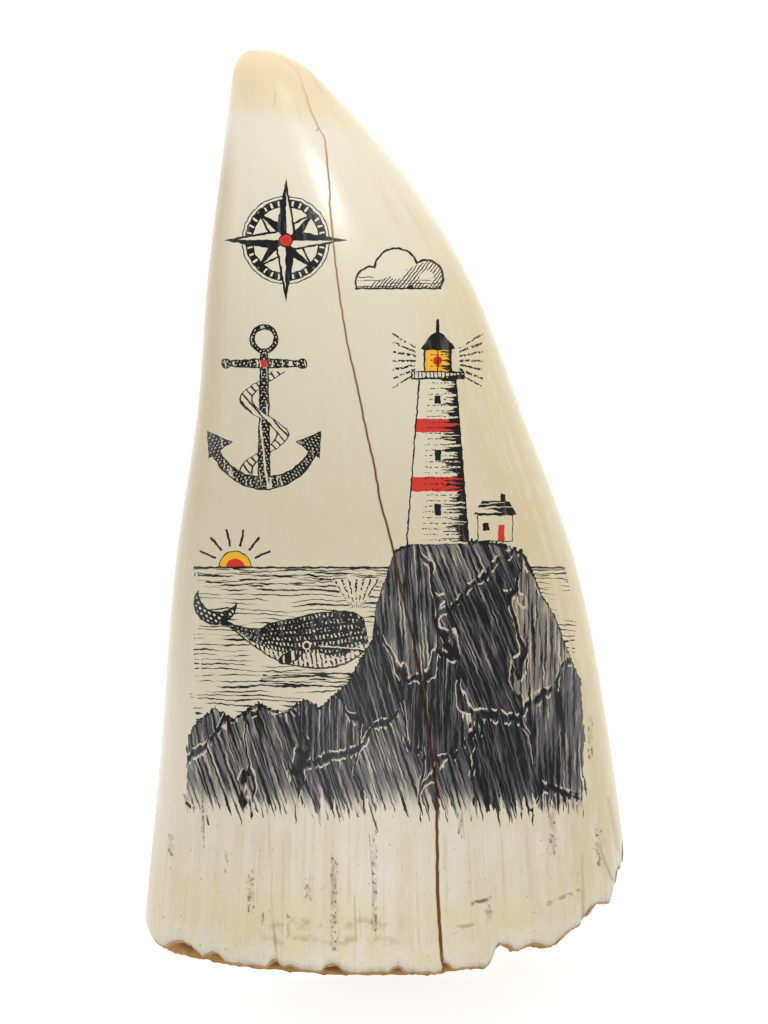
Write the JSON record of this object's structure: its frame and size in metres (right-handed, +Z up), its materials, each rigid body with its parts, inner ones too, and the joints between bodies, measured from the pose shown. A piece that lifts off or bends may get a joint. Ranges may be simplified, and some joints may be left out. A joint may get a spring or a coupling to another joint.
{
  "type": "scrimshaw whale tooth",
  "caption": "Curved hollow whale tooth lying on its back, polished, with a nautical scene engraved on its broad upper face and a broken, open root.",
  "frame": {"origin": "middle of the tooth's outline, on the surface it lies on", "axes": "+Y from the open root to the tip, +X across the engraved face to the right, +Z up out of the engraved face"},
  "size_m": [0.0776, 0.15, 0.0516],
  "materials": {
    "ivory": "polished whale ivory, warm white, with an inked engraving"
  },
  "bodies": {
    "root": {"tooth": "ivory"}
  },
  "joints": []
}
